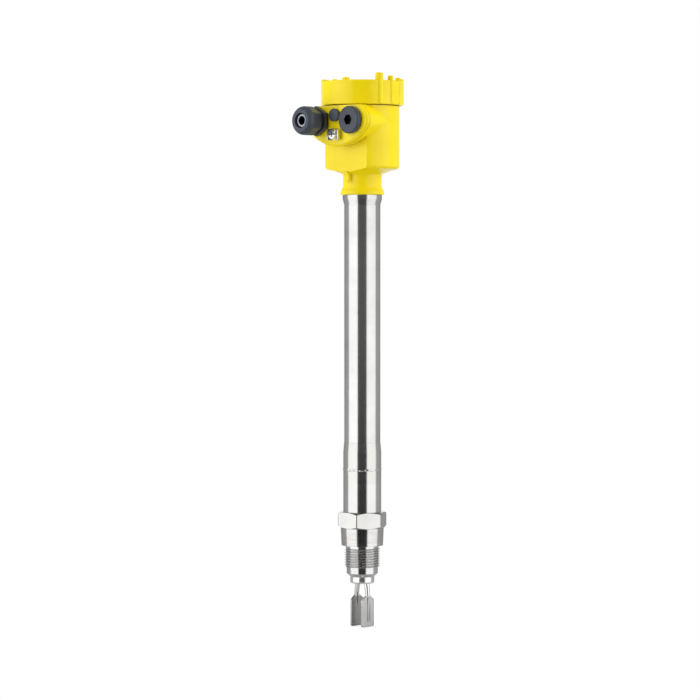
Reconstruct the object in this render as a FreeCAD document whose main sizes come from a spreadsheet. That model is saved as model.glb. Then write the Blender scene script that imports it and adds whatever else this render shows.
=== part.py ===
"""Vibrating level switch: fork, threaded hexagon, extension tube and moulded housing.

Millimetres, +Z up. The origin is on the axis at the top end of the process thread.
The cable entries face -Y.
"""
import FreeCAD, Part
import math
import os
import re

import Sketcher
from FreeCAD import Rotation, Vector

SIZES = {
    # Process fitting
    "thread_radius": 16.62,
    "thread_length": 17.5,
    "thread_chamfer": 0.8,
    "relief_depth": 1.92,
    "relief_length": 2.5,
    "lead_depth": 1.92,
    "lead_length": 6.0,
    "shoulder_length": 3.3,
    "nose_radius": 11.35,
    "collar_foot_radius": 19.55,
    "collar_top_radius": 20.25,
    "collar_height": 16.3,
    "collar_edge": 0.8,
    "hex_flats": 41.0,
    "hex_height": 15.2,
    "hex_bevel_width": 0.5,
    "hex_bevel_angle": 30.0,
    "pipe_step": 0.9,
    "spigot_length": 39.3,
    "weld_groove": 0.35,
    "stack_bore": 8.6,
    "pipe_wall": 3.9,
    "stack_room": 38.0,
    # Tuning fork
    "cap_height": 6.1,
    "cap_edge": 1.4,
    "diaphragm_thickness": 1.4,
    "stud_boss_radius": 4.5,
    "stud_boss_height": 3.0,
    "stud_depth": 2.8,
    "prong_length": 40.6,
    "prong_spacing": 14.0,
    "prong_width": 16.0,
    "prong_thickness": 2.6,
    "prong_shoulder": 3.8,
    "prong_shoulder_width": 5.2,
    "prong_corner": 0.8,
    "prong_edge": 0.5,
    "stem_length": 11.6,
    "stem_radius": 2.5,
    "stem_lean": 1.4,
    "ridge_radius": 2.2,
    "ridge_offset": 0.55,
    "ridge_end_radius": 0.9,
    "ridge_end_gap": 5.0,
    # Drive stack behind the diaphragm
    "plate_radius": 7.4,
    "plate_thickness": 3.0,
    "piezo_radius": 6.6,
    "piezo_bore": 3.0,
    "piezo_thickness": 2.2,
    "spring_washer_radius": 5.6,
    "spring_washer_thickness": 1.1,
    "clamp_nut_flats": 8.0,
    "clamp_nut_height": 3.2,
    "bolt_radius": 1.95,
    "bolt_clearance": 0.05,
    "bolt_overhang": 1.2,
    "cable_radius": 1.6,
    # Tubes
    "sleeve_length": 24.9,
    "sleeve_straight": 15.9,
    "sleeve_step": 0.15,
    "tube_radius": 17.0,
    "tube_wall": 2.0,
    "tube_length": 220.3,
    "guide_clearance": 0.1,
    "guide_thickness": 5.0,
    # Tube head
    "flare_height": 5.3,
    "flange_step": 1.5,
    "flange_height": 3.8,
    "spigot_radius": 14.65,
    "swivel_clearance": 0.06,
    "swivel_gap": 0.3,
    "head_bore": 10.0,
    "head_counterbore": 13.0,
    "head_counterbore_depth": 6.0,
    "head_overhang": 3.2,
    "seal_groove_height": 8.0,
    "seal_section": 1.05,
    "seal_slack": 0.05,
    "ring_groove_depth": 1.15,
    "ring_thickness": 1.2,
    "ring_radius": 17.4,
    "ring_opening": 24.0,
    "feedthrough_depth": 14.0,
    "jack_radius": 2.5,
    # Housing shell
    "neck_radius": 18.0,
    "neck_collar_radius": 20.15,
    "neck_collar_foot": 19.8,
    "neck_collar_height": 3.7,
    "neck_flare_height": 8.9,
    "neck_height": 19.6,
    "neck_fillet": 1.9,
    "dish_radius": 25.9,
    "dish_height": 22.2,
    "heel_inset": 1.8,
    "heel_height": 23.6,
    "body_radius": 34.5,
    "body_foot": 26.7,
    "body_edge": 4.2,
    "floor_height": 27.0,
    "front_flat": 22.0,
    "front_wall": 3.0,
    "body_wall": 3.0,
    "well_drop": 5.0,
    "shoulder_height": 81.4,
    "rim_step": 0.9,
    "rim_height": 15.6,
    "rim_edge": 0.7,
    # Boss for the cable entries
    "entry_drop": 14.0,
    "entry_offset": 20.9,
    "entry_radius": 10.0,
    "entry_depth": 15.0,
    "ear_reach": 1.0,
    "ear_pad": 4.5,
    "ear_seam": 0.45,
    "ear_overhang": 5.25,
    "ear_end_radius": 10.0,
    "ear_drop": 23.5,
    "ear_edge": 2.6,
    "ear_root_inset": 0.7,
    "ear_root_depth": 2.0,
    # Lug on the neck
    "lug_width": 5.7,
    "lug_foot": 12.5,
    "lug_reach": 21.8,
    "lug_knee": 17.6,
    "lug_top_reach": 23.5,
    "lug_top": 21.6,
    "lug_root": 16.5,
    # Lid
    "lid_gap": 0.8,
    "lid_side_wall": 3.9,
    "lid_height": 22.2,
    "lid_wall": 3.0,
    "lid_edge": 1.2,
    "lid_foot_edge": 0.5,
    "lid_clearance": 0.1,
    "lid_seal_section": 0.35,
    "rib_inset": 1.9,
    "rib_radius": 2.7,
    "rib_top_rise": 1.1,
    "rib_first_inset": 2.8,
    "rib_first_radius": 3.7,
    "rib_first_angle": 70.0,
    "rib_pitch": 20.0,
    "rib_foot": 0.9,
    "rib_first_rise": 6.8,
    "rib_second_rise": 4.4,
    "rib_third_rise": 3.0,
    "rib_fourth_rise": 2.5,
    # Cable gland
    "shank_clearance": 0.05,
    "gasket_inner": 10.2,
    "gasket_outer": 11.5,
    "gasket_thickness": 1.0,
    "gland_shank_length": 11.0,
    "gland_flats": 24.0,
    "gland_hex_height": 4.4,
    "gland_thread_radius": 9.5,
    "gland_thread_length": 10.4,
    "gland_bore": 6.2,
    "gland_mouth_bore": 8.0,
    "gland_mouth_depth": 13.4,
    "gland_nut_start": 9.2,
    "gland_nut_clearance": 0.08,
    "gland_nut_flats": 23.4,
    "gland_nut_flats_length": 10.4,
    "gland_nut_radius": 13.2,
    "gland_length": 25.0,
    "gland_face_radius": 10.15,
    "gland_opening": 6.95,
    "gland_lip": 3.6,
    "gland_dome_radius": 6.4,
    "gland_thread_room": 10.2,
    "cage_radius": 7.6,
    "cage_start": 6.0,
    "cage_end": 20.6,
    "seal_radius": 5.7,
    "seal_bore": 4.0,
    "seal_recess": 2.2,
    # Blind plug
    "plug_head_radius": 12.5,
    "plug_head_height": 4.6,
    "plug_edge": 0.9,
    "plug_shank_length": 10.0,
    "socket_flats": 8.8,
    "socket_depth": 5.6,
    # Vent
    "vent_raise": 5.0,
    "vent_radius": 5.85,
    "vent_height": 3.6,
    "vent_dome": 0.5,
    "vent_shank_radius": 3.9,
    "vent_clearance": 0.08,
    "vent_shank_length": 3.4,
    "membrane_thickness": 0.4,
    # Ground terminal
    "ground_drop": 12.5,
    "ground_insert_radius": 3.0,
    "ground_insert_length": 8.0,
    "ground_boss_radius": 5.2,
    "ground_boss_depth": 10.0,
    "clamp_width": 14.0,
    "clamp_height": 10.2,
    "clamp_thickness": 1.0,
    "clamp_flange": 4.3,
    "ground_hole_radius": 2.2,
    "ground_washer_radius": 4.5,
    "ground_washer_thickness": 1.3,
    "ground_head_radius": 4.75,
    "ground_head_height": 2.9,
    "ground_head_edge": 0.5,
    "ground_slot_width": 1.0,
    "ground_slot_depth": 1.2,
    "ground_shank_radius": 1.95,
    "ground_shank_length": 7.0,
    # Electronics
    "post_gap": 3.6,
    "post_setback": 6.0,
    "post_radius": 3.6,
    "post_height": 5.6,
    "post_screw_radius": 1.5,
    "post_screw_depth": 5.0,
    "module_clearance": 4.0,
    "module_front": 17.6,
    "module_height": 25.0,
    "module_edge": 1.0,
    "module_head_radius": 3.0,
    "module_head_height": 2.0,
    "module_hole_radius": 1.7,
    "terminal_width": 28.0,
    "terminal_depth": 12.0,
    "terminal_height": 10.0,
    "terminal_setback": 7.0,
    "terminal_pitch": 6.2,
    "terminal_hole_radius": 1.7,
    "terminal_hole_height": 4.0,
    "terminal_hole_depth": 8.0,
    "spring_length": 2.0,
    "lamp_radius": 2.2,
    "lamp_height": 1.6,
    "lamp_offset": 13.0,
    "lamp_front": 6.0,
    "switch_width": 14.0,
    "switch_depth": 9.0,
    "switch_height": 3.0,
    "switch_front": 11.0,
    "slider_width": 2.6,
    "slider_length": 2.2,
    "slider_height": 2.4,
    "slider_travel": 2.4,
    "slider_slot_depth": 1.6,
    "slider_row": 2.2,
    "slider_clearance": 0.1,
}

PIEZO_COUNT = 4
GUIDE_COUNT = 3
TERMINAL_COUNT = 4
FULL_TURN = 360
CUT_MARGIN = 1.0

# Levels and other lengths worked out from the sizes.
DERIVED = {
    "seal_level": "relief_length",
    "hex_level": "seal_level + collar_height",
    "pipe_level": "hex_level + hex_height",
    "sleeve_level": "pipe_level + spigot_length",
    "tube_level": "sleeve_level + sleeve_length",
    "head_level": "tube_level + tube_length",
    "flange_top": "flare_height + flange_height",
    "housing_level": "head_level + flange_top + swivel_gap",
    "floor_level": "housing_level + floor_height",
    "entry_height": "shoulder_height - entry_drop",
    "entry_level": "housing_level + entry_height",
    "shoulder_level": "housing_level + shoulder_height",
    "lid_level": "shoulder_level + lid_gap",
    "module_level": "floor_level + post_height",
    "deck_level": "module_level + module_height",
    "nose_level": "0 - thread_length - lead_length - shoulder_length",
    "hex_corner": "hex_flats / sqrt(3)",
    "relief_radius": "thread_radius - relief_depth",
    "lead_radius": "thread_radius - lead_depth",
    "pipe_radius": "tube_radius + pipe_step",
    "pipe_bore": "pipe_radius - pipe_wall",
    "sleeve_top_radius": "tube_radius + sleeve_step",
    "flange_radius": "tube_radius + flange_step",
    "stack_level": "nose_level - cap_height + diaphragm_thickness + stud_boss_height",
    "piezo_level": "stack_level + plate_thickness",
    "top_plate_level": f"piezo_level + {PIEZO_COUNT} * piezo_thickness",
    "washer_level": "top_plate_level + plate_thickness",
    "nut_level": "washer_level + spring_washer_thickness",
    "bolt_top_level": "nut_level + clamp_nut_height + bolt_overhang",
    "tube_bore": "tube_radius - tube_wall",
    "head_top": "flange_top + swivel_gap + floor_height + head_overhang",
    "feedthrough_level": "head_level + head_top - feedthrough_depth",
    "ring_bottom": "flange_top + 2 * swivel_gap + floor_height",
    "ring_groove_radius": "spigot_radius - ring_groove_depth",
    "neck_bore": "spigot_radius + swivel_clearance",
    "heel_radius": "body_radius - heel_inset",
    "chamber_radius": "body_radius - body_wall",
    "well_height": "entry_height - entry_radius - well_drop",
    "rim_radius": "body_radius - rim_step",
    "ear_face": "body_radius + ear_reach",
    "ear_half_width": "body_radius + ear_overhang",
    "ear_root_half_width": "body_radius - ear_root_inset",
    "entry_shank_radius": "entry_radius - shank_clearance",
    "cage_front": "gland_length - gland_lip",
    "lid_bore": "rim_radius + lid_clearance",
    "lid_radius": "lid_bore + lid_side_wall",
    "rib_circle": "lid_radius - rib_inset",
    "rib_first_circle": "lid_radius - rib_first_inset",
    "stem_top": "0 - cap_height",
    "stem_foot": "stem_top - stem_length",
    "prong_foot": "stem_top - prong_length",
    "plug_face": "gasket_thickness + plug_head_height",
    "ground_screw_level": "clamp_thickness + ground_washer_thickness",
    "module_radius": "chamber_radius - module_clearance",
    "post_offset": "ring_radius + post_gap",
}

WORD = re.compile(r"[a-z][a-z_]*")
OUTWARD = Rotation(Vector(1, 0, 0), 90)

doc = FreeCAD.newDocument("level_switch")
sheet = doc.addObject("Spreadsheet::Sheet", "Sizes")
parts = []


def fill_sheet():
    """Write each size in its own aliased cell."""
    for row, (name, size) in enumerate(SIZES.items(), start=1):
        sheet.set(f"A{row}", name)
        sheet.set(f"B{row}", str(size))
        sheet.setAlias(f"B{row}", name)
    doc.recompute()


def expression(text):
    """Turn a formula of size names into one that reads the sheet."""
    def replace(match):
        word = match.group(0)
        if word in DERIVED:
            return f"({expression(DERIVED[word])})"
        return f"Sizes.{word}" if word in SIZES else word
    return WORD.sub(replace, str(text))


def value(text):
    """Work a formula out as a number."""
    result = sheet.evalExpression(expression(text))
    return float(getattr(result, "Value", result))


def bind(item, prop, text):
    """Tie one property of an object to a formula of sizes."""
    item.setExpression(prop, expression(text))


def new_body(label):
    """Start a body for one sub-part."""
    body = doc.addObject("PartDesign::Body", label)
    body.Label = label
    return body


def add_part(item, x="0", y="0", z="0", turn=None):
    """Place a finished sub-part and note it for export."""
    if turn:
        item.Placement = FreeCAD.Placement(Vector(), turn)
    for axis, text in (("x", x), ("y", y), ("z", z)):
        bind(item, f"Placement.Base.{axis}", text)
    parts.append(item)
    return item


def on_entry_face(item, x="0", rise="0"):
    """Place a sub-part that is modelled along +Z so that it points out of the entry face."""
    return add_part(item, x, "0 - ear_face", f"entry_level + {rise}", OUTWARD)


def origin_item(body, role):
    """Find one of the body's own planes or axes."""
    return [item for item in body.Origin.OriginFeatures if item.Role == role][0]


def new_sketch(body, plane, offset="0"):
    """Attach a sketch to one of the body's own planes."""
    sketch = body.newObject("Sketcher::SketchObject", f"{body.Name}_sketch")
    sketch.AttachmentSupport = (origin_item(body, plane), [""])
    sketch.MapMode = "FlatFace"
    bind(sketch, "AttachmentOffset.Base.z", offset)
    return sketch


def held(sketch, kind, geometry, corner, text):
    """Hold one coordinate of a sketch point at a formula of sizes."""
    rule = Sketcher.Constraint(kind, -1, 1, geometry, corner, value(text))
    index = sketch.addConstraint(rule)
    bind(sketch, f"Constraints[{index}]", text)


def arc_between(start, end, radius, bend):
    """Make the short arc between two points, to the left or the right of the chord."""
    chord = end - start
    rise = math.sqrt(max(radius ** 2 - (chord.Length / 2) ** 2, 0))
    left = Vector(-chord.y, chord.x, 0).normalize()
    side = 1 if bend == "left" else -1
    centre = (start + end) / 2 + left * rise * side
    first, last = (start, end) if bend == "left" else (end, start)
    angles = [math.atan2(p.y - centre.y, p.x - centre.x) for p in (first, last)]
    circle = Part.Circle(centre, Vector(0, 0, 1), radius)
    return Part.ArcOfCircle(circle, angles[0], angles[1])


def outline(sketch, points):
    """Draw a closed chain through the points.

    A point is (x, y), or (x, y, radius, bend) where an arc runs on from it. The bend is the
    side of the arc's centre, seen along the chain.
    """
    places = [Vector(value(point[0]), value(point[1]), 0) for point in points]
    ends = []
    for index, point in enumerate(points):
        start = places[index]
        end = places[(index + 1) % len(points)]
        if len(point) > 2:
            edge = arc_between(start, end, value(point[2]), point[3])
        else:
            edge = Part.LineSegment(start, end)
        reverse = len(point) > 2 and point[3] == "right"
        ends.append((sketch.addGeometry(edge), 2 if reverse else 1, 1 if reverse else 2))
    for index, (edge, first, last) in enumerate(ends):
        following = ends[(index + 1) % len(ends)]
        sketch.addConstraint(Sketcher.Constraint("Coincident", edge, last, following[0], following[1]))
    for point, (edge, first, last) in zip(points, ends):
        held(sketch, "DistanceX", edge, first, point[0])
        held(sketch, "DistanceY", edge, first, point[1])
        if len(point) > 2:
            rule = Sketcher.Constraint("Radius", edge, value(point[2]))
            bind(sketch, f"Constraints[{sketch.addConstraint(rule)}]", point[2])


def circle(sketch, x, y, radius):
    """Draw a circle with bound centre and radius."""
    centre = Vector(value(x), value(y), 0)
    edge = sketch.addGeometry(Part.Circle(centre, Vector(0, 0, 1), value(radius)))
    held(sketch, "DistanceX", edge, 3, x)
    held(sketch, "DistanceY", edge, 3, y)
    rule = Sketcher.Constraint("Radius", edge, value(radius))
    bind(sketch, f"Constraints[{sketch.addConstraint(rule)}]", radius)


def rectangle(sketch, x_low, x_high, y_low, y_high):
    """Draw a rectangle between two bound corners."""
    outline(sketch, [(x_low, y_low), (x_high, y_low), (x_high, y_high), (x_low, y_high)])


def hexagon(sketch, flats, corner_up=True):
    """Draw a hexagon with two corners on the sketch's upright axis, or on its level one."""
    half = f"{flats} / 2"
    side = f"{flats} / (2 * sqrt(3))"
    corner = f"{flats} / sqrt(3)"
    points = [
        (f"0 - {half}", f"0 - {side}"),
        ("0", f"0 - {corner}"),
        (half, f"0 - {side}"),
        (half, side),
        ("0", corner),
        (f"0 - {half}", side),
    ]
    if not corner_up:
        points = [(y, x) for x, y in points]
    outline(sketch, points)


def feature(body, kind, sketch):
    """Add a sketch-based feature to the body."""
    item = body.newObject(f"PartDesign::{kind}", f"{body.Name}_{kind.lower()}")
    item.Profile = sketch
    body.Tip = item
    return item


def revolve(body, points, angle=None):
    """Add the outline, in radius and height, turned round the body's Z axis."""
    sketch = new_sketch(body, "XZ_Plane")
    outline(sketch, points)
    item = feature(body, "Revolution", sketch)
    item.ReferenceAxis = (sketch, ["V_Axis"])
    item.Angle = FULL_TURN
    if angle:
        bind(item, "Angle", angle)
    doc.recompute()
    return item


def cut_check(body, before):
    """Stop if the last cut took nothing away."""
    doc.recompute()
    if body.Shape.Volume >= before:
        raise RuntimeError(f"{body.Tip.Name} cuts nothing")


def groove(body, points):
    """Cut the outline, in radius and height, turned round the body's Z axis."""
    before = body.Shape.Volume
    sketch = new_sketch(body, "XZ_Plane")
    outline(sketch, points)
    item = feature(body, "Groove", sketch)
    item.ReferenceAxis = (sketch, ["V_Axis"])
    item.Angle = FULL_TURN
    cut_check(body, before)
    return item


def pad(body, sketch, length, reverse=False, middle=False):
    """Add the sketch as a prism along its normal."""
    item = feature(body, "Pad", sketch)
    item.Reversed = reverse
    item.Midplane = middle
    bind(item, "Length", length)
    doc.recompute()
    return item


def pocket(body, sketch, depth, reverse=False, middle=False):
    """Cut the sketch as a prism against its normal, or along it when reversed."""
    before = body.Shape.Volume
    item = feature(body, "Pocket", sketch)
    item.Reversed = reverse
    item.Midplane = middle
    bind(item, "Length", depth)
    cut_check(body, before)
    return item


def edges_where(shape, test):
    """Name the edges whose middle point and curve pass a test."""
    names = []
    for index, edge in enumerate(shape.Edges, start=1):
        middle = edge.valueAt((edge.FirstParameter + edge.LastParameter) / 2)
        if test(edge, middle):
            names.append(f"Edge{index}")
    if not names:
        raise RuntimeError("no edge passes the test")
    return names


def dress(body, kind, names, size):
    """Add a fillet or a chamfer on named edges of the last feature."""
    base = body.Tip
    item = body.newObject(f"PartDesign::{kind}", f"{body.Name}_{kind.lower()}")
    item.Base = (base, names)
    bind(item, "Radius" if kind == "Fillet" else "Size", size)
    body.Tip = item
    doc.recompute()
    return item


def ring(label, inner, outer, height):
    """Make a plain ring or disc that stands on its own XY plane."""
    body = new_body(label)
    revolve(body, [(inner, "0"), (outer, "0"), (outer, height), (inner, height)])
    return body


def near(first, second):
    """Tell whether two lengths are the same."""
    return abs(first - second) < 1e-4


# Sensor
def make_process_fitting():
    """Turned fitting: thread, relief, collar, hexagon and spigot in one piece."""
    body = new_body("process_fitting")
    revolve(body, [
        ("0", "nose_level"),
        ("nose_radius", "nose_level"),
        ("lead_radius", "0 - thread_length - lead_length"),
        ("lead_radius", "0 - thread_length"),
        ("thread_radius - thread_chamfer", "0 - thread_length"),
        ("thread_radius", "thread_chamfer - thread_length"),
        ("thread_radius", "0"),
        ("relief_radius", "0"),
        ("relief_radius", "seal_level"),
        ("collar_foot_radius", "seal_level"),
        ("collar_top_radius", "hex_level - collar_edge"),
        ("collar_top_radius", "hex_level"),
        ("pipe_radius", "hex_level"),
        ("pipe_radius", "sleeve_level - weld_groove"),
        ("pipe_radius - weld_groove", "sleeve_level"),
        ("0", "sleeve_level"),
    ])
    sketch = new_sketch(body, "XY_Plane", "hex_level")
    hexagon(sketch, "hex_flats", corner_up=False)
    pad(body, sketch, "hex_height")
    reach = f"hex_corner + {CUT_MARGIN}"
    start = "hex_flats / 2 - hex_bevel_width"
    rise = f"({reach} - ({start})) * tan(hex_bevel_angle)"
    groove(body, [(start, "pipe_level"), (reach, f"pipe_level - {rise}"), (reach, "pipe_level")])
    groove(body, [(start, "hex_level"), (reach, "hex_level"), (reach, f"hex_level + {rise}")])
    groove(body, [
        ("0", "nose_level"),
        ("stack_bore", "nose_level"),
        ("stack_bore", "stack_room"),
        ("pipe_bore", "stack_room"),
        ("pipe_bore", "sleeve_level"),
        ("0", "sleeve_level"),
    ])
    add_part(body)


def make_tuning_fork():
    """Cap with the diaphragm and two paddle prongs in one piece."""
    body = new_body("tuning_fork")
    boss_top = "diaphragm_thickness + stud_boss_height - cap_height"
    stud_radius = "bolt_radius + bolt_clearance"
    revolve(body, [
        ("0", "0 - cap_height"),
        ("nose_radius - cap_edge", "0 - cap_height", "cap_edge", "left"),
        ("nose_radius", "cap_edge - cap_height"),
        ("nose_radius", "0"),
        ("stack_bore", "0"),
        ("stack_bore", "diaphragm_thickness - cap_height"),
        ("stud_boss_radius", "diaphragm_thickness - cap_height"),
        ("stud_boss_radius", boss_top),
        (stud_radius, boss_top),
        (stud_radius, f"{boss_top} - stud_depth"),
        ("0", f"{boss_top} - stud_depth"),
    ])
    blade = new_sketch(body, "YZ_Plane", "prong_spacing / 2")
    half = "prong_width / 2"
    shoulder = f"({half} - prong_shoulder_width)"
    outline(blade, [
        (f"prong_corner - {half}", "prong_foot"),
        (f"{half} - prong_corner", "prong_foot"),
        (half, "prong_foot + prong_corner"),
        (half, "stem_foot - prong_shoulder"),
        (shoulder, "stem_foot"),
        (f"0 - {shoulder}", "stem_foot"),
        (f"0 - {half}", "stem_foot - prong_shoulder"),
        (f"0 - {half}", "prong_foot + prong_corner"),
    ])
    plate = pad(body, blade, "prong_thickness", middle=True)
    stem = add_stem(body)
    mirror = body.newObject("PartDesign::Mirrored", "prong_mirror")
    mirror.Originals = [plate, stem]
    mirror.MirrorPlane = (origin_item(body, "YZ_Plane"), [""])
    body.Tip = mirror
    doc.recompute()
    outer = value("prong_spacing / 2 + prong_thickness / 2")
    rim = value(f"{half} / 2")
    foot = value("prong_foot")

    def on_outer_rim(edge, middle):
        on_face = near(abs(middle.x), outer)
        return on_face and (abs(middle.y) > rim or near(middle.z, foot))

    dress(body, "Chamfer", edges_where(body.Shape, on_outer_rim), "prong_edge")
    add_part(body, z="nose_level")


def add_stem(body):
    """Round stem from the diaphragm that fades into a ridge along the blade's outer face."""
    outer = "prong_spacing / 2 + prong_thickness / 2"
    rings = (
        ("prong_spacing / 2 - stem_lean", "stem_top + diaphragm_thickness / 2", "stem_radius"),
        ("prong_spacing / 2 + ridge_offset / 2", "stem_foot", "ridge_radius"),
        (f"{outer} - ridge_end_radius", "prong_foot + ridge_end_gap", "ridge_end_radius"),
    )
    sections = []
    for x, level, radius in rings:
        section = new_sketch(body, "XY_Plane", level)
        circle(section, x, "0", radius)
        sections.append(section)
    stem = feature(body, "AdditiveLoft", sections[0])
    stem.Sections = sections[1:]
    stem.Ruled = True
    doc.recompute()
    return stem


def make_drive_stack():
    """Clamped stack of piezo rings that drives the diaphragm."""
    bore = "bolt_radius + bolt_clearance"
    add_part(ring("drive_plate", bore, "plate_radius", "plate_thickness"), z="stack_level")
    rings = [ring(f"piezo_ring_{number + 1}", "piezo_bore", "piezo_radius", "piezo_thickness")
             for number in range(PIEZO_COUNT)]
    for number, item in enumerate(rings):
        bind(item, "Placement.Base.z", f"{number} * piezo_thickness")
    stack = doc.addObject("Part::Compound", "piezo_rings")
    stack.Label = "piezo_rings"
    stack.Links = rings
    add_part(stack, z="piezo_level")
    add_part(ring("top_plate", bore, "plate_radius", "plate_thickness"), z="top_plate_level")
    washer = ring("spring_washer", bore, "spring_washer_radius", "spring_washer_thickness")
    add_part(washer, z="washer_level")
    nut = new_body("clamp_nut")
    sketch = new_sketch(nut, "XY_Plane")
    hexagon(sketch, "clamp_nut_flats")
    circle(sketch, "0", "0", bore)
    pad(nut, sketch, "clamp_nut_height")
    add_part(nut, z="nut_level")
    bottom = "stack_level - stud_depth"
    bolt = doc.addObject("Part::Cylinder", "drive_bolt")
    bind(bolt, "Radius", "bolt_radius")
    bind(bolt, "Height", f"bolt_top_level - ({bottom})")
    add_part(bolt, z=bottom)


def make_lower_sleeve():
    """Welded sleeve that tapers up to the tube."""
    body = new_body("lower_sleeve")
    revolve(body, [
        ("pipe_bore", "0"),
        ("pipe_radius - weld_groove", "0"),
        ("pipe_radius", "weld_groove"),
        ("pipe_radius", "sleeve_straight"),
        ("sleeve_top_radius", "sleeve_length"),
        ("pipe_bore", "sleeve_length"),
    ])
    add_part(body, z="sleeve_level")


def make_tubes():
    """Extension tube, its cable guides and the sensor cable on the axis."""
    add_part(ring("extension_tube", "tube_bore", "tube_radius", "tube_length"), z="tube_level")
    for number in range(1, GUIDE_COUNT + 1):
        guide = ring(f"cable_guide_{number}", "cable_radius + guide_clearance",
                     "tube_bore - guide_clearance", "guide_thickness")
        add_part(guide, z=f"tube_level + {number} * tube_length / {GUIDE_COUNT + 1}")
    cable = doc.addObject("Part::Cylinder", "sensor_cable")
    bind(cable, "Radius", "cable_radius")
    bind(cable, "Height", "feedthrough_level - bolt_top_level")
    add_part(cable, z="bolt_top_level")


def make_tube_head():
    """Turned head with a flange, and a grooved spigot that carries the housing."""
    body = new_body("tube_head")
    groove_bottom = "spigot_radius - 2 * seal_section"
    seal_low = "seal_groove_height - seal_section - seal_slack"
    seal_high = "seal_groove_height + seal_section + seal_slack"
    revolve(body, [
        ("head_counterbore", "0"),
        ("tube_radius", "0"),
        ("flange_radius", "flare_height"),
        ("flange_radius", "flange_top"),
        ("spigot_radius", "flange_top"),
        ("spigot_radius", f"flange_top + {seal_low}"),
        (groove_bottom, f"flange_top + {seal_low}"),
        (groove_bottom, f"flange_top + {seal_high}"),
        ("spigot_radius", f"flange_top + {seal_high}"),
        ("spigot_radius", "ring_bottom"),
        ("ring_groove_radius", "ring_bottom"),
        ("ring_groove_radius", "ring_bottom + ring_thickness"),
        ("spigot_radius", "ring_bottom + ring_thickness"),
        ("spigot_radius", "head_top"),
        ("head_bore", "head_top"),
        ("head_bore", "head_counterbore_depth"),
        ("head_counterbore", "head_counterbore_depth"),
    ])
    add_part(body, z="head_level")
    seal = doc.addObject("Part::Torus", "swivel_seal")
    bind(seal, "Radius1", "spigot_radius - seal_section")
    bind(seal, "Radius2", "seal_section - seal_slack")
    add_part(seal, z="head_level + flange_top + seal_groove_height")
    clip = new_body("retaining_ring")
    revolve(clip, [
        ("ring_groove_radius + seal_slack", "0"),
        ("ring_radius", "0"),
        ("ring_radius", "ring_thickness"),
        ("ring_groove_radius + seal_slack", "ring_thickness"),
    ], angle=f"{FULL_TURN} - ring_opening")
    add_part(clip, z="head_level + ring_bottom")
    plug = ring("feedthrough", "0", "head_bore - seal_slack", "feedthrough_depth")
    add_part(plug, z="feedthrough_level")
    jack = ring("contact_jack", "0", "jack_radius", "post_height - head_overhang - swivel_gap")
    add_part(jack, z="feedthrough_level + feedthrough_depth")


# Housing
def lens(half_width, drop, top):
    """Outline of the entry boss: arcs below, rounded ends and a flat top under the lid."""
    width = f"({half_width} - ear_end_radius)"
    fall = f"({drop} - ear_end_radius)"
    reach = f"(({width} ^ 2 + {fall} ^ 2) / (2 * {fall}))"
    radius = f"({reach} + ear_end_radius)"
    rise = f"({radius} - {drop})"
    touch_x = f"({width} * {radius} / {reach})"
    touch_y = f"(ear_end_radius * {rise} / {reach})"
    top_x = f"sqrt({radius} ^ 2 - ({top} + {rise}) ^ 2)"
    return [
        (f"0 - {touch_x}", f"0 - {touch_y}", radius, "left"),
        (touch_x, f"0 - {touch_y}", "ear_end_radius", "left"),
        (touch_x, touch_y, radius, "left"),
        (top_x, top),
        (f"0 - {top_x}", top, radius, "left"),
        (f"0 - {touch_x}", touch_y, "ear_end_radius", "left"),
    ]


def raised(points, lift):
    """Move an outline up by a formula."""
    return [(point[0], f"{lift} + {point[1]}") + tuple(point[2:]) for point in points]


def add_shell(body):
    """Outer form of the neck, the body and the screw rim."""
    flare = "neck_collar_radius - neck_radius"
    climb = "neck_flare_height - neck_collar_height"
    revolve(body, [
        ("0", "0"),
        ("neck_collar_foot", "0"),
        ("neck_collar_radius", "neck_collar_radius - neck_collar_foot"),
        ("neck_collar_radius", "neck_collar_height",
         f"(({flare}) ^ 2 + ({climb}) ^ 2) / (2 * ({flare}))", "right"),
        ("neck_radius", "neck_flare_height"),
        ("neck_radius", "neck_height - neck_fillet", "neck_fillet", "right"),
        ("neck_radius + neck_fillet", "neck_height"),
        ("dish_radius", "dish_height"),
        ("heel_radius", "heel_height", "body_edge", "left"),
        ("body_radius", "body_foot"),
        ("body_radius", "shoulder_height"),
        ("rim_radius", "shoulder_height"),
        ("rim_radius", "shoulder_height + rim_height - rim_edge"),
        ("rim_radius - rim_edge", "shoulder_height + rim_height"),
        ("0", "shoulder_height + rim_height"),
    ])
    flat = new_sketch(body, "XY_Plane", "body_foot - body_edge - neck_fillet")
    wide = f"body_radius + {CUT_MARGIN}"
    rectangle(flat, f"0 - ({wide})", wide, f"0 - ({wide})", "0 - front_flat")
    pocket(body, flat, "entry_height - body_foot + body_edge + neck_fillet", reverse=True)


def add_ear(body):
    """Boss for the entries, drawn out of the body, with a thicker pad in front of a seam."""
    top = "(shoulder_height - entry_height)"
    seam = "ear_face - ear_pad"
    root = new_sketch(body, "XZ_Plane", "ear_root_depth")
    outline(root, raised(lens("ear_root_half_width", "(ear_drop - ear_seam)", top), "entry_height"))
    tip = new_sketch(body, "XZ_Plane", seam)
    outline(tip, raised(lens("(ear_half_width - ear_seam)", "(ear_drop - ear_seam)", top),
                        "entry_height"))
    loft = feature(body, "AdditiveLoft", root)
    loft.Sections = [tip]
    loft.Ruled = True
    doc.recompute()
    face = new_sketch(body, "XZ_Plane", seam)
    outline(face, raised(lens("ear_half_width", "ear_drop", top), "entry_height"))
    pad(body, face, "ear_pad")
    depth = -value("ear_face")
    level = value("shoulder_height")

    def on_front(edge, middle):
        return near(middle.y, depth) and middle.z < level - 1e-4

    dress(body, "Fillet", edges_where(body.Shape, on_front), "ear_edge")


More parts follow.
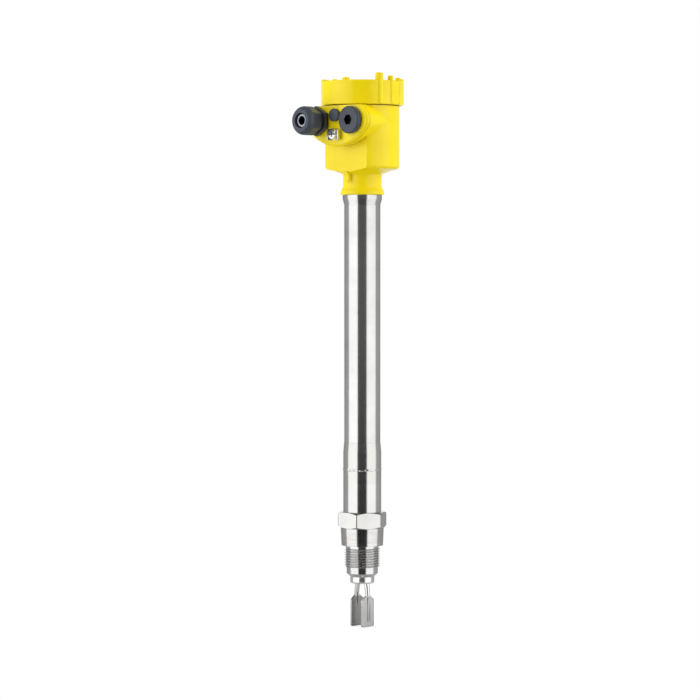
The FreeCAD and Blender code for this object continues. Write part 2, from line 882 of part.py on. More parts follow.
def add_lug(body):
    """Wedge lug between the neck and the body's underside."""
    sketch = new_sketch(body, "YZ_Plane")
    outline(sketch, [
        ("0 - lug_root", "lug_foot"),
        ("0 - lug_root", "lug_top"),
        ("0 - lug_top_reach", "lug_top"),
        ("0 - lug_reach", "lug_knee"),
        ("0 - lug_reach", "lug_foot"),
    ])
    pad(body, sketch, "lug_width", middle=True)


def cut_chamber(body):
    """Wiring chamber: a round upper part and a lower well behind the front flat."""
    groove(body, [
        ("0", "well_height"),
        ("chamber_radius", "well_height"),
        ("chamber_radius", "shoulder_height + rim_height"),
        ("0", "shoulder_height + rim_height"),
    ])
    well = new_sketch(body, "XY_Plane", "well_height")
    front = "(front_flat - front_wall)"
    side = f"sqrt(chamber_radius ^ 2 - {front} ^ 2)"
    outline(well, [
        (f"0 - {side}", f"0 - {front}"),
        (side, f"0 - {front}", "chamber_radius", "left"),
        ("0", "chamber_radius", "chamber_radius", "left"),
    ])
    pocket(body, well, "well_height - floor_height")
    groove(body, [
        ("0", "0"),
        ("neck_bore", "0"),
        ("neck_bore", "floor_height"),
        ("0", "floor_height"),
    ])


def add_inner_bosses(body):
    """Posts for the electronics and the boss behind the ground terminal."""
    posts = new_sketch(body, "XY_Plane", "floor_height")
    for side in ("0 - post_offset", "post_offset"):
        circle(posts, side, "post_setback", "post_radius")
    pad(body, posts, "post_height")
    boss = new_sketch(body, "XZ_Plane", "ear_face - ground_boss_depth")
    circle(boss, "0", "entry_height - ground_drop", "ground_boss_radius")
    pad(body, boss, "ground_boss_depth - body_wall / 2")


def cut_holes(body):
    """Entry holes, vent hole, seat of the ground insert and pilot holes of the posts."""
    entries = new_sketch(body, "XZ_Plane", "ear_face")
    for side in ("0 - entry_offset", "entry_offset"):
        circle(entries, side, "entry_height", "entry_radius")
    pocket(body, entries, "entry_depth")
    vent = new_sketch(body, "XZ_Plane", "ear_face")
    circle(vent, "0", "entry_height + vent_raise", "vent_shank_radius + vent_clearance")
    pocket(body, vent, f"ear_face - chamber_radius + {CUT_MARGIN}")
    ground = new_sketch(body, "XZ_Plane", "ear_face")
    circle(ground, "0", "entry_height - ground_drop", "ground_insert_radius")
    pocket(body, ground, "ground_insert_length")
    pilots = new_sketch(body, "XY_Plane", "floor_height + post_height")
    for side in ("0 - post_offset", "post_offset"):
        circle(pilots, side, "post_setback", "post_screw_radius + bolt_clearance")
    pocket(body, pilots, "post_screw_depth + bolt_clearance")


def make_housing():
    """Moulded single-chamber housing."""
    body = new_body("housing")
    add_shell(body)
    add_ear(body)
    add_lug(body)
    cut_chamber(body)
    add_inner_bosses(body)
    cut_holes(body)
    add_part(body, z="housing_level")


def add_rib(body, number, circle_radius, radius, rise):
    """Add one upright rib on the lid, with a low domed top above the rim."""
    angle = f"(rib_first_angle + {number} * rib_pitch)"
    x = f"{circle_radius} * sin{angle}"
    y = f"0 - {circle_radius} * cos{angle}"
    top = f"lid_height + {rise} - rib_top_rise"
    post = body.newObject("PartDesign::AdditiveCylinder", f"rib_post_{number + 1}")
    bind(post, "Radius", radius)
    bind(post, "Height", f"{top} - rib_foot")
    cap = body.newObject("PartDesign::AdditiveEllipsoid", f"rib_cap_{number + 1}")
    bind(cap, "Radius1", "rib_top_rise")
    bind(cap, "Radius2", radius)
    bind(cap, "Radius3", radius)
    for item, level in ((post, "rib_foot"), (cap, top)):
        bind(item, "Placement.Base.x", x)
        bind(item, "Placement.Base.y", y)
        bind(item, "Placement.Base.z", level)
    body.Tip = cap
    doc.recompute()
    return [post, cap]


def make_lid():
    """Screw lid with two groups of four grip ribs."""
    body = new_body("lid")
    revolve(body, [
        ("0", "0"),
        ("lid_radius - lid_foot_edge", "0"),
        ("lid_radius", "lid_foot_edge"),
        ("lid_radius", "lid_height - lid_edge", "lid_edge", "left"),
        ("lid_radius - lid_edge", "lid_height"),
        ("0", "lid_height"),
    ])
    ribs = add_rib(body, 0, "rib_first_circle", "rib_first_radius", "rib_first_rise")
    rises = ("rib_second_rise", "rib_third_rise", "rib_fourth_rise")
    for number, rise in enumerate(rises, start=1):
        ribs += add_rib(body, number, "rib_circle", "rib_radius", rise)
    pattern = body.newObject("PartDesign::PolarPattern", "rib_pattern")
    pattern.Originals = ribs
    pattern.Axis = (origin_item(body, "Z_Axis"), [""])
    pattern.Angle = FULL_TURN
    pattern.Occurrences = 2
    body.Tip = pattern
    doc.recompute()
    groove(body, [
        ("0", "0"),
        ("lid_bore", "0"),
        ("lid_bore", "lid_height - lid_wall"),
        ("0", "lid_height - lid_wall"),
    ])
    add_part(body, z="lid_level")
    seal = doc.addObject("Part::Torus", "lid_seal")
    bind(seal, "Radius1", "rim_radius + lid_clearance + lid_seal_section")
    bind(seal, "Radius2", "lid_seal_section")
    add_part(seal, z="shoulder_level + lid_gap / 2")


# Cable gland
def make_gland():
    """Gland body, sealing insert with its cage, and the dome nut."""
    side = "0 - entry_offset"
    gasket = ring("gland_gasket", "gasket_inner", "gasket_outer", "gasket_thickness")
    on_entry_face(gasket, side)
    body = new_body("gland_body")
    sketch = new_sketch(body, "XY_Plane", "gasket_thickness")
    hexagon(sketch, "gland_flats")
    pad(body, sketch, "gland_hex_height")
    thread_end = "gasket_thickness + gland_hex_height + gland_thread_length"
    revolve(body, [
        ("0", "0 - gland_shank_length"),
        ("entry_shank_radius", "0 - gland_shank_length"),
        ("entry_shank_radius", "gasket_thickness + gland_hex_height / 2"),
        ("gland_thread_radius", "gasket_thickness + gland_hex_height / 2"),
        ("gland_thread_radius", thread_end),
        ("0", thread_end),
    ])
    shelf = f"{thread_end} - gland_mouth_depth"
    groove(body, [
        ("0", "0 - gland_shank_length"),
        ("gland_bore", "0 - gland_shank_length"),
        ("gland_bore", shelf),
        ("gland_mouth_bore", shelf),
        ("gland_mouth_bore", thread_end),
        ("0", thread_end),
    ])
    on_entry_face(body, side)
    cage = new_body("gland_cage")
    revolve(cage, [
        ("seal_radius + guide_clearance", "cage_start"),
        ("cage_radius", "cage_start"),
        ("cage_radius", "cage_end"),
        ("seal_radius + guide_clearance", "cage_end"),
    ])
    on_entry_face(cage, side)
    insert = new_body("gland_seal")
    revolve(insert, [
        ("seal_bore", "cage_start"),
        ("seal_radius", "cage_start"),
        ("seal_radius", "gland_length - seal_recess"),
        ("seal_bore", "gland_length - seal_recess"),
    ])
    on_entry_face(insert, side)
    make_gland_nut(side)


def make_gland_nut(side):
    """Dome nut with six flats cut in its skirt."""
    body = new_body("gland_nut")
    thread_bore = "gland_thread_radius + gland_nut_clearance"
    flats_end = "gland_nut_start + gland_nut_flats_length"
    cage_room = "gland_mouth_bore"
    thread_room = "gland_nut_start + gland_thread_room"
    revolve(body, [
        (thread_bore, "gland_nut_start"),
        ("gland_nut_radius", "gland_nut_start"),
        ("gland_nut_radius", flats_end, "gland_dome_radius", "left"),
        ("gland_face_radius", "gland_length"),
        ("gland_opening", "gland_length"),
        ("gland_opening", "cage_front"),
        (cage_room, "cage_front"),
        (cage_room, thread_room),
        (thread_bore, thread_room),
    ])
    sketch = new_sketch(body, "XY_Plane", "gland_nut_start")
    hexagon(sketch, "gland_nut_flats")
    circle(sketch, "0", "0", f"gland_nut_flats / sqrt(3) + {CUT_MARGIN}")
    pocket(body, sketch, "gland_nut_flats_length", reverse=True)
    on_entry_face(body, side)


def make_plug():
    """Blind plug with a hexagon socket, and its gasket."""
    gasket = ring("plug_gasket", "gasket_inner", "gasket_outer", "gasket_thickness")
    on_entry_face(gasket, "entry_offset")
    body = new_body("blind_plug")
    revolve(body, [
        ("0", "0 - plug_shank_length"),
        ("entry_shank_radius", "0 - plug_shank_length"),
        ("entry_shank_radius", "gasket_thickness"),
        ("plug_head_radius", "gasket_thickness"),
        ("plug_head_radius", "plug_face - plug_edge"),
        ("plug_head_radius - plug_edge", "plug_face"),
        ("0", "plug_face"),
    ])
    socket = new_sketch(body, "XY_Plane", "plug_face")
    hexagon(socket, "socket_flats", corner_up=False)
    pocket(body, socket, "socket_depth")
    on_entry_face(body, "entry_offset")


def make_vent():
    """Pressure vent between the entries, and its membrane."""
    body = new_body("vent_cap")
    revolve(body, [
        ("0", "0 - vent_shank_length"),
        ("vent_shank_radius", "0 - vent_shank_length"),
        ("vent_shank_radius", "0"),
        ("vent_radius", "0"),
        ("vent_radius", "vent_height - vent_dome",
         "(vent_radius ^ 2 + vent_dome ^ 2) / (2 * vent_dome)", "left"),
        ("0", "vent_height"),
    ])
    on_entry_face(body, rise="vent_raise")
    membrane = new_body("vent_membrane")
    revolve(membrane, [
        ("0", "0 - vent_shank_length - membrane_thickness"),
        ("vent_shank_radius", "0 - vent_shank_length - membrane_thickness"),
        ("vent_shank_radius", "0 - vent_shank_length"),
        ("0", "0 - vent_shank_length"),
    ])
    on_entry_face(membrane, rise="vent_raise")


# Ground terminal
def make_ground_terminal():
    """Insert, folded clamp, spring washer and cross-slotted screw."""
    drop = "(0 - ground_drop)"
    insert = new_body("ground_insert")
    hole = "ground_shank_radius + bolt_clearance"
    revolve(insert, [
        (hole, "0 - ground_insert_length"),
        ("ground_insert_radius", "0 - ground_insert_length"),
        ("ground_insert_radius", "0"),
        (hole, "0"),
    ])
    on_entry_face(insert, rise=drop)
    clamp = new_body("ground_clamp")
    profile = new_sketch(clamp, "XZ_Plane")
    half = "clamp_width / 2"
    inner = "(clamp_width / 2 - clamp_thickness)"
    outline(profile, [
        (f"0 - {half}", "0"),
        (half, "0"),
        (half, "clamp_flange"),
        (inner, "clamp_flange"),
        (inner, "clamp_thickness"),
        (f"0 - {inner}", "clamp_thickness"),
        (f"0 - {inner}", "clamp_flange"),
        (f"0 - {half}", "clamp_flange"),
    ])
    pad(clamp, profile, "clamp_height", middle=True)
    opening = new_sketch(clamp, "XY_Plane", "clamp_thickness")
    circle(opening, "0", "0", "ground_hole_radius")
    pocket(clamp, opening, "clamp_thickness")
    on_entry_face(clamp, rise=drop)
    washer = ring("ground_washer", "ground_hole_radius", "ground_washer_radius",
                  "ground_washer_thickness")
    on_entry_face(washer, rise=drop)
    bind(washer, "Placement.Base.y", "0 - ear_face - clamp_thickness")
    make_ground_screw(drop)


def make_ground_screw(drop):
    """Pan head with a slot and a crossing slot."""
    screw = new_body("ground_screw")
    top = "ground_screw_level + ground_head_height"
    revolve(screw, [
        ("0", "0 - ground_shank_length"),
        ("ground_shank_radius", "0 - ground_shank_length"),
        ("ground_shank_radius", "ground_screw_level"),
        ("ground_head_radius", "ground_screw_level"),
        ("ground_head_radius", f"{top} - ground_head_edge", "ground_head_edge", "left"),
        ("ground_head_radius - ground_head_edge", top),
        ("0", top),
    ])
    for long, short in (("ground_head_radius", "ground_slot_width / 2"),
                        ("ground_slot_width / 2", "ground_head_radius / 2")):
        slot = new_sketch(screw, "XY_Plane", top)
        rectangle(slot, f"0 - {long}", long, f"0 - {short}", short)
        pocket(screw, slot, "ground_slot_depth")
    on_entry_face(screw, rise=drop)


# Electronics
def make_module():
    """Electronics module on the posts, with its screws."""
    body = new_body("electronics_module")
    sketch = new_sketch(body, "XY_Plane")
    side = "sqrt(module_radius ^ 2 - module_front ^ 2)"
    outline(sketch, [
        (f"0 - {side}", "0 - module_front"),
        (side, "0 - module_front", "module_radius", "left"),
        ("0", "module_radius", "module_radius", "left"),
    ])
    pad(body, sketch, "module_height")
    top = value("module_height")

    def on_deck(edge, middle):
        return near(middle.z, top)

    dress(body, "Chamfer", edges_where(body.Shape, on_deck), "module_edge")
    holes = new_sketch(body, "XY_Plane", "module_height")
    for x in ("0 - post_offset", "post_offset"):
        circle(holes, x, "post_setback", "module_hole_radius")
    pocket(body, holes, "module_height")
    add_part(body, z="module_level")
    screws = []
    for number, x in enumerate(("0 - post_offset", "post_offset"), start=1):
        screw = new_body(f"module_screw_{number}")
        revolve(screw, [
            ("0", "0 - module_height - post_screw_depth"),
            ("post_screw_radius", "0 - module_height - post_screw_depth"),
            ("post_screw_radius", "0"),
            ("module_head_radius", "0"),
            ("module_head_radius", "module_head_height"),
            ("0", "module_head_height"),
        ])
        bind(screw, "Placement.Base.x", x)
        bind(screw, "Placement.Base.y", "post_setback")
        screws.append(screw)
    pair = doc.addObject("Part::Compound", "module_screws")
    pair.Links = screws
    add_part(pair, z="deck_level")


def make_terminals():
    """Push-in terminal block with one contact spring in each wire hole."""
    block = new_body("terminal_block")
    base = new_sketch(block, "XY_Plane")
    half = "terminal_width / 2"
    rectangle(base, f"0 - {half}", half, "0", "terminal_depth")
    pad(block, base, "terminal_height")
    hole = new_sketch(block, "XZ_Plane")
    first = f"0 - terminal_pitch * {(TERMINAL_COUNT - 1) / 2}"
    circle(hole, first, "terminal_hole_height", "terminal_hole_radius")
    cut = pocket(block, hole, "terminal_hole_depth")
    row = block.newObject("PartDesign::LinearPattern", "terminal_row")
    row.Originals = [cut]
    row.Direction = (origin_item(block, "X_Axis"), [""])
    row.Occurrences = TERMINAL_COUNT
    bind(row, "Length", f"terminal_pitch * {TERMINAL_COUNT - 1}")
    block.Tip = row
    doc.recompute()
    add_part(block, y="terminal_setback", z="deck_level")
    springs = []
    for number in range(TERMINAL_COUNT):
        spring = ring(f"terminal_spring_{number + 1}", "terminal_hole_radius / 2",
                      "terminal_hole_radius - guide_clearance", "spring_length")
        spring.Placement = FreeCAD.Placement(Vector(), Rotation(Vector(1, 0, 0), -90))
        bind(spring, "Placement.Base.x", f"{first} + {number} * terminal_pitch")
        springs.append(spring)
    group = doc.addObject("Part::Compound", "terminal_springs")
    group.Links = springs
    add_part(group, y="terminal_setback + terminal_hole_depth - spring_length",
             z="deck_level + terminal_hole_height")


def make_controls():
    """Signal lamp and the block with two slide switches."""
    lamp = new_body("lamp_lens")
    revolve(lamp, [
        ("0", "0"),
        ("lamp_radius", "0"),
        ("lamp_radius", "lamp_height / 2"),
        ("lamp_radius / 2", "lamp_height"),
        ("0", "lamp_height"),
    ])
    add_part(lamp, "lamp_offset", "0 - lamp_front", "deck_level")
    block = new_body("switch_block")
    base = new_sketch(block, "XY_Plane")
    half = "switch_width / 2"
    rectangle(base, f"0 - {half}", half, "0 - switch_depth / 2", "switch_depth / 2")
    pad(block, base, "switch_height")
    run = "(slider_travel / 2 + slider_length / 2 + slider_clearance)"
    width = "(slider_width / 2 + slider_clearance)"
    slots = new_sketch(block, "XY_Plane", "switch_height")
    for row in ("0 - slider_row", "slider_row"):
        rectangle(slots, f"0 - {run}", run, f"{row} - {width}", f"{row} + {width}")
    pocket(block, slots, "slider_slot_depth")
    add_part(block, y="0 - switch_front", z="deck_level")
    for label, row in (("mode_switch", "0 - slider_row"), ("delay_switch", "slider_row")):
        slider = doc.addObject("Part::Box", label)
        bind(slider, "Length", "slider_length")
        bind(slider, "Width", "slider_width")
        bind(slider, "Height", "slider_height")
        add_part(slider, "0 - slider_travel / 2 - slider_length / 2",
                 f"{row} - switch_front - slider_width / 2",
                 "deck_level + switch_height - slider_slot_depth")


def check_parts():
    """Stop if a feature failed or a sub-part has no sound shape."""
    doc.recompute()
    for item in doc.Objects:
        if "Invalid" in item.State or "Error" in item.State:
            raise RuntimeError(f"{item.Label} failed: {item.State}")
    for item in parts:
        if item.Shape.isNull() or not item.Shape.isValid():
            raise RuntimeError(f"{item.Label} has no valid shape")


def main():
    """Build every sub-part and write it to its own file."""
    fill_sheet()
    make_process_fitting()
    make_tuning_fork()
    make_drive_stack()
    make_lower_sleeve()
    make_tubes()
    make_tube_head()
    make_housing()
    make_lid()
    make_gland()
    make_plug()
    make_vent()
    make_ground_terminal()
    make_module()
    make_terminals()
    make_controls()
    check_parts()
    os.makedirs("parts", exist_ok=True)
    for item in parts:
        item.Shape.exportStep(f"parts/{item.Label}.step")
        print(item.Label, len(item.Shape.Solids), round(item.Shape.Volume))


main()
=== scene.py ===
"""Looks of a vibrating level switch: screw thread, finishes, studio and camera."""

import math

import bpy
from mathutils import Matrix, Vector


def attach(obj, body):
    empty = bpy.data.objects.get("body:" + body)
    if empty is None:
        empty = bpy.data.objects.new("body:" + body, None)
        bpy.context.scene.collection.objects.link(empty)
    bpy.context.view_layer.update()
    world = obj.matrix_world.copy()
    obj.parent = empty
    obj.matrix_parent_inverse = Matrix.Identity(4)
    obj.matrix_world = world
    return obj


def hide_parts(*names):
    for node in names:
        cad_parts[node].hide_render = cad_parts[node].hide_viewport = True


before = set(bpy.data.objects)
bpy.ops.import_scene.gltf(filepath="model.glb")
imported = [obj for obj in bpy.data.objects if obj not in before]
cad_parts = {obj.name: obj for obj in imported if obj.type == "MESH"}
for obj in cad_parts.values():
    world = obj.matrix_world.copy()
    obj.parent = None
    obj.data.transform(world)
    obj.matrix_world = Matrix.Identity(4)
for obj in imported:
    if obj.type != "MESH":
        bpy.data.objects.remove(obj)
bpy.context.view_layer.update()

MM = 0.001
TURN = 2 * math.pi

# Process fitting, in millimetres, with the same sizes as the solid
THREAD_RADIUS = 16.62
THREAD_PITCH = 2.309
THREAD_DEPTH = 1.479
THREAD_BOTTOM = -17.5
THREAD_CHAMFER = 0.8
ROOT_RADIUS = 14.7
RELIEF_RADIUS = 15.3
LEAD_BOTTOM = -23.5
NOSE_BOTTOM = -26.8
NOSE_RADIUS = 11.35
SEAL_LEVEL = 2.5
COLLAR_FOOT_RADIUS = 19.55
COLLAR_TOP_RADIUS = 20.25
COLLAR_EDGE = 0.8
HEX_LEVEL = 18.8
HEX_FLATS = 41.0
HEX_BEVEL_WIDTH = 0.5
HEX_BEVEL_ANGLE = math.radians(30)
HEX_CORNER_ROUND = 0.35
PIPE_LEVEL = 34.0
PIPE_RADIUS = 17.9
SLEEVE_LEVEL = 73.3
WELD_GROOVE = 0.35
STACK_BORE = 8.6
STACK_TOP = 38.0
PIPE_BORE = 14.0
EDGE_ROUND = 0.12

# Thread form: height of its sharp triangle, and how much of a flank is straight
SHARP_HEIGHT = 0.9605 * THREAD_PITCH
STRAIGHT_SHARE = 0.7

# How finely the turned pieces are divided, and the angle from which an edge stays sharp
ROWS_PER_PITCH = 16
SECTORS = 192
SHARP_ANGLE = math.radians(20)

# Weld bead, in millimetres, with the counts of its waves round the pipe
BEAD_HALF_WIDTH = 1.05
BEAD_RISE = 0.5
BEAD_RISE_MEAN = 0.6
BEAD_RISE_CHANGE = 0.4
BEAD_RISE_WAVES = (23, 9)
BEAD_WANDER = 0.4
BEAD_WANDER_WAVES = (5, 17)
BEAD_STEPS = 8

# Ridges of the prongs, in millimetres, with the share of the full width at each level
RIDGE_FACE = 8.3
RIDGE_RADIUS = 1.3
RIDGE_FLATNESS = 0.3
RIDGE_LEVELS = (-68.8, -67.5, -44.0, -42.7)
RIDGE_SHARES = (0.05, 0.85, 1.0, 1.0)
RIDGE_SECTORS = 16

# Places of the marks drawn by the finishes, in metres
MARK_BLUR = 0.0003
THREAD_CREST = 0.0158
THREAD_FLOOR = 0.0153
STREAK_BOTTOM = 0.0028
STREAK_TOP = 0.0186
HEAT_BOTTOM = 0.0602
HEAT_TOP = 0.0986
ENTRY_X = 0.0209
ENTRY_LEVEL = 0.3953
SEAM_FRONT = -0.0309
SEAM_HALF_WIDTH = 0.0005
SEAM_TOP = 0.4092
MOUTH_FRONT = -0.0586
MOUTH_RADIUS = 0.0041
SOCKET_FRONT = -0.0409
SOCKET_RADIUS = 0.0052
RECESS_FRONT = -0.0405
RECESS_LEVEL = 0.3828
RECESS_RADIUS = 0.004
PRONG_INSIDE = 0.0062
PRONG_OUTSIDE = 0.0078
PRONG_TOP = -0.046
CREASE_MIDDLE = 0.0016
CREASE_HALF_WIDTH = 0.0003
CREASE_BOTTOM = -0.0688

# Colours of the marks and of the dark plastic
# Painted shade in the roots of the screw thread
THREAD_SHADE_COLOUR = (0.54, 0.535, 0.525)
STREAK_COLOUR = (0.625, 0.605, 0.59)
HEAT_COLOUR = (0.6798, 0.67465, 0.6464)
# Painted shade in the seam behind the front of the entry boss
SEAM_SHADE_COLOUR = (0.24, 0.14, 0.002)
# Painted shade inside the gland's bore and the plug's socket
HOLE_SHADE_COLOUR = (0.004, 0.004, 0.005)
# Painted shade in the ground screw's cross recess
RECESS_SHADE_COLOUR = (0.03, 0.03, 0.03)
# Painted shade on the inner faces of the prongs
PRONG_SHADE_COLOUR = (0.49, 0.485, 0.475)
# Painted shade in the creases beside the prongs' ridges
CREASE_SHADE_COLOUR = (0.18, 0.178, 0.175)
DARK = (0.058, 0.071, 0.098)
DARK_SHADE = (0.044, 0.054, 0.075)

# Noises of the finishes, each as its scale for a metre, detail and roughness
MOULDED_CLOUDS = (60, 3)
MOULDED_GRAIN = (900, 4, 0.6)
TURNED_CLOUDS = (45, 4)
TURNED_RINGS = (4000, 3, 0.7)
GROUND_CLOUDS = (90, 4)
GROUND_GRAIN = (2500, 3, 0.6)
STREAK_NOISE = (60, 3)
NOISE_LOW = 0.3
NOISE_HIGH = 0.7

# How far the collar's streaks are drawn out level, how faint and how wide they are
STREAK_STRETCH = (1, 1, 6)
STREAK_FAINTEST = 0.35
STREAK_START = 0.4
STREAK_FULL = 0.6

# Usual ranges of roughness
MOULDED_ROUGHNESS = (0.3, 0.42)
TURNED_ROUGHNESS = (0.1, 0.2)
GROUND_ROUGHNESS = (0.12, 0.25)

# Depth of the fine reliefs and radius of the rounded edges, in metres
MOULDED_DEPTH = 0.00003
MOULDED_EDGE = 0.0004
TURNED_DEPTH = 0.000004
TURNED_EDGE = 0.00012
GROUND_DEPTH = 0.000006
GROUND_EDGE = 0.0003
FORK_EDGE = 0.0006

# Rays with which a rounded edge is found
EDGE_SAMPLES = 4

# Camera and floor, in metres, with the lens in millimetres
CAMERA_AZIMUTH = math.radians(43.7)
CAMERA_DISTANCE = 2.386
CAMERA_HEIGHT = 0.2749
CAMERA_PITCH = math.radians(2.18)
CAMERA_YAW = math.radians(43.974)
CAMERA_LENS = 132.2
CAMERA_CLIP = 0.05
FLOOR_LEVEL = -0.0742
FLOOR_RADIUS = 0.22
FLOOR_SECTORS = 96
FLOOR_COLOUR = (0.5, 0.5, 0.5, 1)
FLOOR_GLOW = 0.75

# Soft lamps: name, turn from the camera's side in degrees, width and radiance
SOFTBOXES = (
    ("left_softbox", -61, 1.87, 0.87),
    ("right_softbox", 57.5, 1.8, 0.78),
)
SOFTBOX_HEIGHT = 2.4
SOFTBOX_LEVEL = 0.5
SOFTBOX_DISTANCE = 1.5

# Brightness that polished metal sees, by the cosine of the angle from the camera's side
SURROUND = ((-1.0, 1.0), (-0.95, 1.0), (-0.9, 0.31), (-0.5, 0.4), (0.84, 0.52), (0.9, 0.015),
            (1.0, 0.015))
# Brightness that dull surfaces see, in the same way
FILL = ((-1.0, 0.5), (-0.35, 1.0), (0.25, 2.15), (0.7, 0.82), (1.0, 0.03))
# What is added on the camera's side, by height as the sine of the angle above the horizon
HORIZON = ((-1.0, 0.08), (-0.3, 0.08), (-0.2, 0.0), (-0.1, 0.0), (-0.01, 0.16), (0.005, 0.15),
           (0.02, 0.06), (1.0, 0.03))
# Cosines between which that part fades in
NEAR_START = 0.84
NEAR_FULL = 0.9
# Share that polished metal keeps toward the top and the bottom, and the heights of the change
STEEP_SHARE = 0.35
STEEP_START = 0.42
STEEP_FULL = 0.6
# Share of the fill that is left straight below, and the heights of the change
UNDER_SHARE = 0.4
UNDER_START = -0.3
UNDER_FULL = -0.8


# Parts of node trees
def new_material(name):
    """Start a node material and give back its tree and main shader."""
    material = bpy.data.materials.new(name)
    material.use_nodes = True
    tree = material.node_tree
    return material, tree, tree.nodes["Principled BSDF"]


def add(tree, kind, **settings):
    """Add a node with some of its settings."""
    node = tree.nodes.new(kind)
    for key, setting in settings.items():
        setattr(node, key, setting)
    return node


def place(tree):
    """Position on the object, in metres."""
    return add(tree, "ShaderNodeTexCoord").outputs["Object"]


def from_point(tree, point):
    """Position measured from a point."""
    node = add(tree, "ShaderNodeVectorMath", operation="SUBTRACT")
    tree.links.new(place(tree), node.inputs[0])
    node.inputs[1].default_value = point
    return node.outputs[0]


def stretched(tree, vector, scale):
    """Scale a position by an amount for each axis."""
    node = add(tree, "ShaderNodeVectorMath", operation="MULTIPLY")
    tree.links.new(vector, node.inputs[0])
    node.inputs[1].default_value = scale
    return node.outputs[0]


def scaled(tree, vector, factor):
    """Scale a colour or a position by a value from another node."""
    node = add(tree, "ShaderNodeVectorMath", operation="SCALE")
    tree.links.new(vector, node.inputs[0])
    tree.links.new(factor, node.inputs["Scale"])
    return node.outputs[0]


def distance_of(tree, vector):
    """Length of a position from its origin."""
    node = add(tree, "ShaderNodeVectorMath", operation="LENGTH")
    tree.links.new(vector, node.inputs[0])
    return node.outputs["Value"]


def along(tree, vector, axis):
    """One coordinate of a position."""
    node = add(tree, "ShaderNodeSeparateXYZ")
    tree.links.new(vector, node.inputs[0])
    return node.outputs[axis]


def size_of(tree, value):
    """A value without its sign."""
    node = add(tree, "ShaderNodeMath", operation="ABSOLUTE")
    tree.links.new(value, node.inputs[0])
    return node.outputs[0]


def times(tree, first, second):
    """Product of two values."""
    node = add(tree, "ShaderNodeMath", operation="MULTIPLY")
    tree.links.new(first, node.inputs[0])
    tree.links.new(second, node.inputs[1])
    return node.outputs[0]


def spread(tree, source, low, high, start=NOISE_LOW, end=NOISE_HIGH):
    """Map a value onto a new range, held at its ends."""
    node = add(tree, "ShaderNodeMapRange")
    tree.links.new(source, node.inputs["Value"])
    node.inputs["From Min"].default_value = start
    node.inputs["From Max"].default_value = end
    node.inputs["To Min"].default_value = low
    node.inputs["To Max"].default_value = high
    return node.outputs["Result"]


def band(tree, value, low, high, blur=MARK_BLUR):
    """One between two levels and nought outside them."""
    rising = spread(tree, value, 0, 1, low - blur, low + blur)
    falling = spread(tree, value, 1, 0, high - blur, high + blur)
    return times(tree, rising, falling)


def graded(tree, source, stops):
    """Grey ramp over the range from -1 to 1, with stops from pairs of a value and a level."""
    ramp = add(tree, "ShaderNodeValToRGB")
    tree.links.new(spread(tree, source, 0, 1, -1, 1), ramp.inputs[0])
    points = ramp.color_ramp.elements
    while len(points) < len(stops):
        points.new(1)
    for point, (value, level) in zip(points, stops):
        point.position = (value + 1) / 2
        point.color = (level, level, level, 1)
    return ramp.outputs["Color"]


def blend_colours(tree, factor, first, second):
    """Mix two colours by a factor."""
    node = add(tree, "ShaderNodeMix", data_type="RGBA")
    tree.links.new(factor, node.inputs["Factor"])
    for socket, colour in ((node.inputs[6], first), (node.inputs[7], second)):
        if isinstance(colour, tuple):
            socket.default_value = (*colour, 1)
        else:
            tree.links.new(colour, socket)
    return node.outputs[2]


def noise(tree, vector, scale, detail, roughness=0.5):
    """Noise value at a position."""
    node = add(tree, "ShaderNodeTexNoise")
    tree.links.new(vector, node.inputs["Vector"])
    node.inputs["Scale"].default_value = scale
    node.inputs["Detail"].default_value = detail
    node.inputs["Roughness"].default_value = roughness
    return node.outputs["Fac"]


def round_the_axis(tree):
    """Distance from the upright axis and height, as a flat position."""
    vector = place(tree)
    joined = add(tree, "ShaderNodeCombineXYZ")
    reach = distance_of(tree, stretched(tree, vector, (1, 1, 0)))
    tree.links.new(reach, joined.inputs[0])
    tree.links.new(along(tree, vector, 2), joined.inputs[1])
    return joined.outputs[0]


def relief(tree, height, depth, edge):
    """Normal of a fine relief on a surface with rounded edges."""
    bevel = add(tree, "ShaderNodeBevel", samples=EDGE_SAMPLES)
    bevel.inputs["Radius"].default_value = edge
    bump = add(tree, "ShaderNodeBump")
    bump.inputs["Distance"].default_value = depth
    tree.links.new(height, bump.inputs["Height"])
    tree.links.new(bevel.outputs["Normal"], bump.inputs["Normal"])
    return bump.outputs["Normal"]


# Marks: one where the mark lies, and nought elsewhere
def inside_hole(tree, x, front, level, radius):
    """Inside of a hole that runs along Y from its front."""
    vector = from_point(tree, (x, front, level))
    reach = distance_of(tree, stretched(tree, vector, (1, 0, 1)))
    near = spread(tree, reach, 1, 0, radius, radius + MARK_BLUR)
    deep = spread(tree, along(tree, vector, 1), 0, 1, 0, MARK_BLUR)
    return times(tree, near, deep)


def gland_mouth_shade(tree):
    """Painted shade in the bore of the sealing insert in the gland."""
    return inside_hole(tree, -ENTRY_X, MOUTH_FRONT, ENTRY_LEVEL, MOUTH_RADIUS)


def plug_socket_shade(tree):
    """Painted shade in the hexagon socket of the blind plug."""
    return inside_hole(tree, ENTRY_X, SOCKET_FRONT, ENTRY_LEVEL, SOCKET_RADIUS)


def screw_recess_shade(tree):
    """Painted shade in the cross recess of the ground screw."""
    return inside_hole(tree, 0, RECESS_FRONT, RECESS_LEVEL, RECESS_RADIUS)


def entry_seam_shade(tree):
    """Painted shade in the narrow seam behind the front of the entry boss."""
    vector = from_point(tree, (0, SEAM_FRONT, SEAM_TOP))
    depth = along(tree, vector, 1)
    line = band(tree, depth, -SEAM_HALF_WIDTH, SEAM_HALF_WIDTH, SEAM_HALF_WIDTH / 2)
    return times(tree, line, spread(tree, along(tree, vector, 2), 1, 0, 0, MARK_BLUR))


